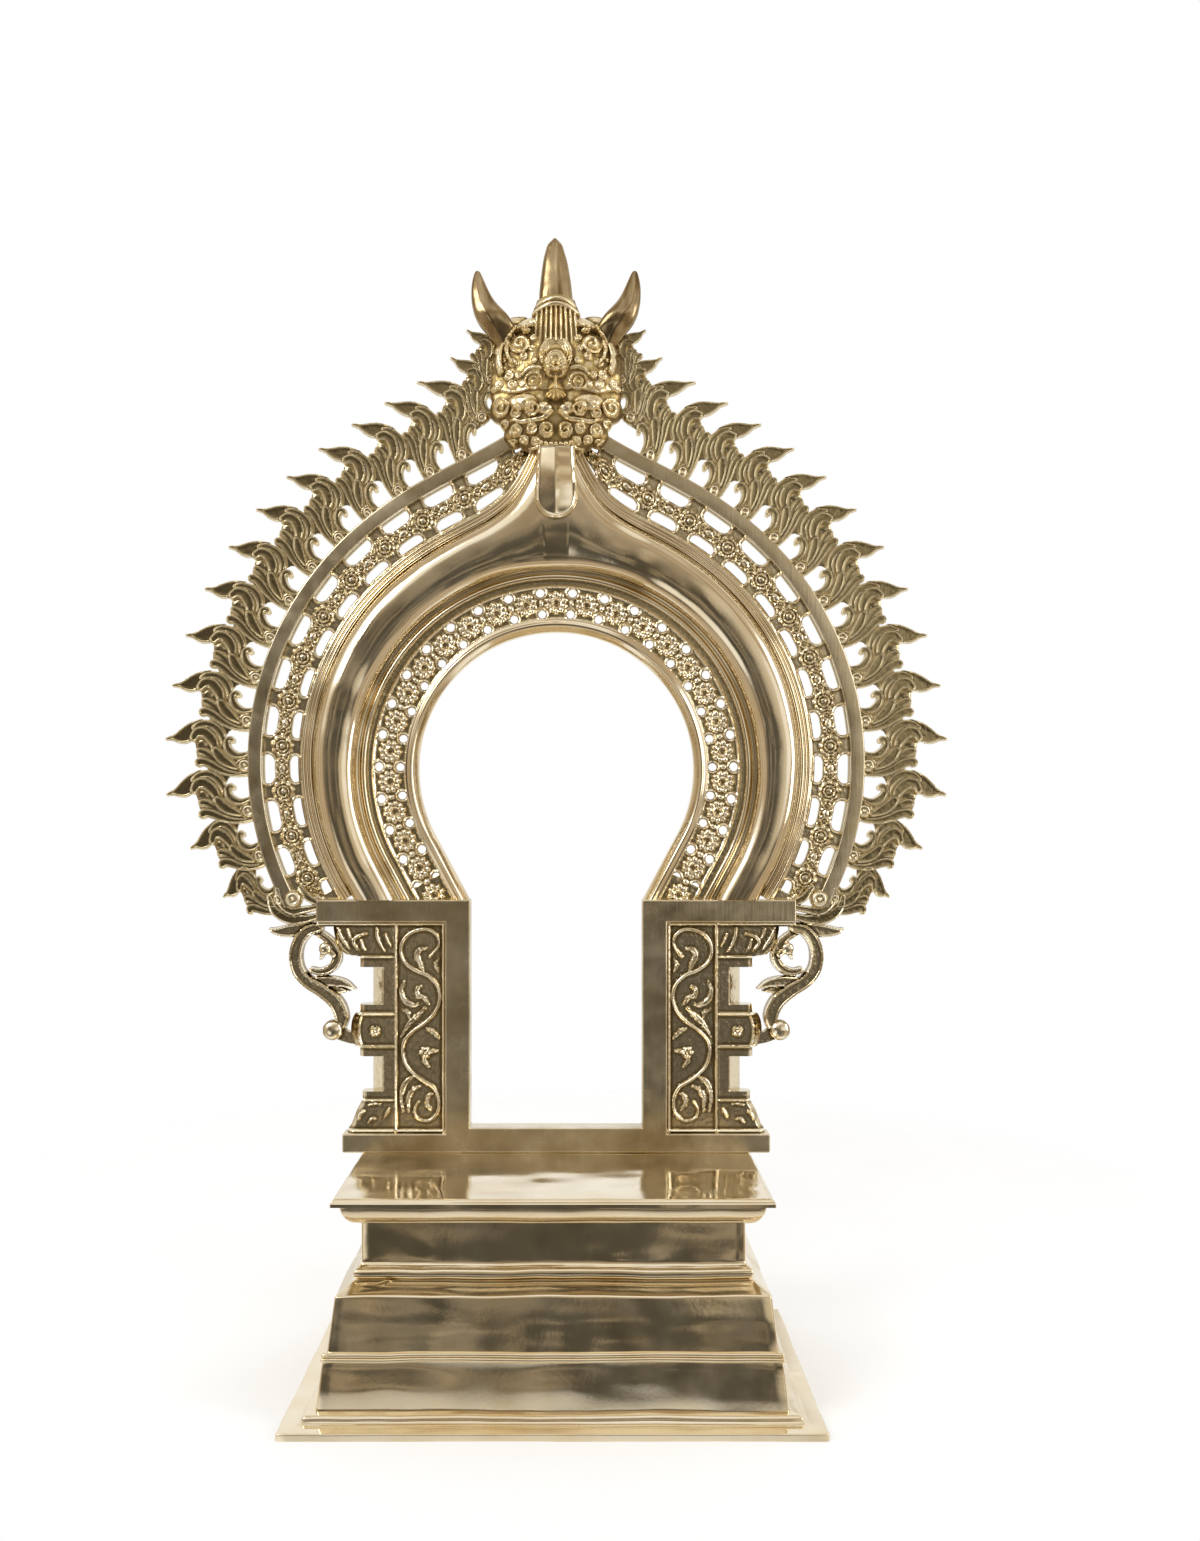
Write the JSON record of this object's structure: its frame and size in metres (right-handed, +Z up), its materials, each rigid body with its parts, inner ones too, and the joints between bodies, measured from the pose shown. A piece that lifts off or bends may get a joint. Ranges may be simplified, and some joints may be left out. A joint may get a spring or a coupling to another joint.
{
  "type": "prabhavali",
  "caption": "Horseshoe flame arch with a guardian mask at its peak, standing by tenons at the back of a stepped hollow pedestal; frames a standing figure.",
  "frame": {"origin": "under the middle of the pedestal, on the surface that it stands on", "axes": "+Z up, +X to the right seen from the front, front faces -Y"},
  "size_m": [0.503, 0.2076, 0.7058],
  "materials": {
    "polished_brass": "hand polished, faintly wavy",
    "carved_brass": "cast and chased, bright with yellow recesses",
    "brushed_brass": "flat, finely brushed",
    "raw_brass": "as cast"
  },
  "bodies": {
    "pedestal": {"foot_plate": "polished_brass", "lower_course": "polished_brass", "upper_course": "polished_brass", "neck_course": "polished_brass", "top_slab": "polished_brass", "left_socket": "raw_brass", "right_socket": "raw_brass"},
    "arch": {"keyhole_frame": "brushed_brass", "left_tenon": "raw_brass", "right_tenon": "raw_brass", "left_scroll_panel": "carved_brass", "right_scroll_panel": "carved_brass", "left_pilaster": "carved_brass", "right_pilaster": "carved_brass", "left_scroll_bracket": "carved_brass", "right_scroll_bracket": "carved_brass", "inner_lip": "polished_brass", "inner_band": "carved_brass", "roll_moulding": "polished_brass", "left_beads": "polished_brass", "right_beads": "polished_brass", "left_lattice": "carved_brass", "right_lattice": "carved_brass", "left_flames_1": "carved_brass", "left_flames_2": "carved_brass", "left_flames_3": "carved_brass", "left_flames_4": "carved_brass", "right_flames_1": "carved_brass", "right_flames_2": "carved_brass", "right_flames_3": "carved_brass", "right_flames_4": "carved_brass", "face_mask": "carved_brass", "crown": "carved_brass", "centre_horn": "polished_brass", "left_horn": "polished_brass", "right_horn": "polished_brass", "tongue": "polished_brass"}
  },
  "joints": [
    {"name": "arch_lift", "type": "slide", "parent": "pedestal", "child": "arch", "axis": [0, 0, 1], "range_m": [0, 0.06]}
  ]
}
